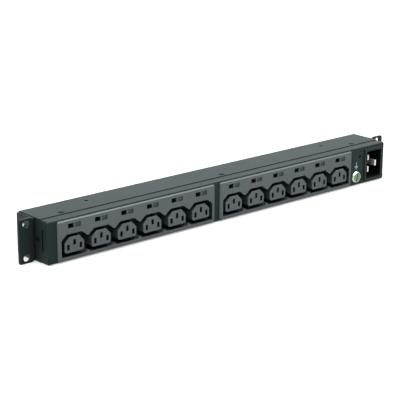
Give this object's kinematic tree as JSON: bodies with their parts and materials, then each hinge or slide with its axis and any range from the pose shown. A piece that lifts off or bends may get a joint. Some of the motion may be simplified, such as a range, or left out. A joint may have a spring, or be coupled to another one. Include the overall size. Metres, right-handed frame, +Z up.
{
  "type": "rack power distribution unit",
  "caption": "Rack power distribution unit: a slim sheet-metal case with two rows of moulded power outlets, a power inlet, an earthing screw and rack ears.",
  "frame": {"origin": "centre of the four ear holes, on the rear faces of the rack ears", "axes": "+X along the front to the inlet end, +Y into the rack, +Z up"},
  "size_m": [0.481, 0.0476, 0.042],
  "materials": {
    "case_paint": "fine-textured near-black powder coat on folded steel sheet",
    "module_plastic": "mid grey moulded plastic, finely spark-eroded",
    "inner_plastic": "black moulded plastic, not on show",
    "inlet_plastic": "black moulded plastic",
    "contact_metal": "stamped brass",
    "pin_metal": "nickel-plated brass blades",
    "bright_screw": "bright zinc or nickel plate",
    "dark_screw": "black zinc plate",
    "earth_green": "green anodised look of an earthing screw",
    "line_insulation": "brown wire insulation",
    "neutral_insulation": "blue wire insulation",
    "earth_insulation": "green and yellow wire insulation"
  },
  "bodies": {
    "root": {"front_channel": "case_paint", "rear_cover": "case_paint", "left_rack_ear": "case_paint", "right_rack_ear": "case_paint", "left_outlet_housing": "module_plastic", "right_outlet_housing": "module_plastic", "left_outlet_back": "inner_plastic", "right_outlet_back": "inner_plastic", "left_line_bar": "contact_metal", "left_neutral_bar": "contact_metal", "left_earth_bar": "contact_metal", "right_line_bar": "contact_metal", "right_neutral_bar": "contact_metal", "right_earth_bar": "contact_metal", "left_back_screws": "bright_screw", "right_back_screws": "bright_screw", "inlet_housing": "inlet_plastic", "inlet_line_pin": "pin_metal", "inlet_neutral_pin": "pin_metal", "inlet_earth_pin": "pin_metal", "earth_screw": "earth_green", "earth_washer": "bright_screw", "bar_earth_ring": "contact_metal", "inlet_earth_ring": "contact_metal", "earth_nut": "bright_screw", "push_on_receptacles": "contact_metal", "line_wires": "line_insulation", "neutral_wires": "neutral_insulation", "earth_wires": "earth_insulation", "top_cover_screws": "dark_screw", "bottom_cover_screws": "dark_screw", "left_ear_screws": "bright_screw", "right_ear_screws": "bright_screw", "left_end_screw": "dark_screw", "right_end_screw": "dark_screw"}
  },
  "joints": []
}
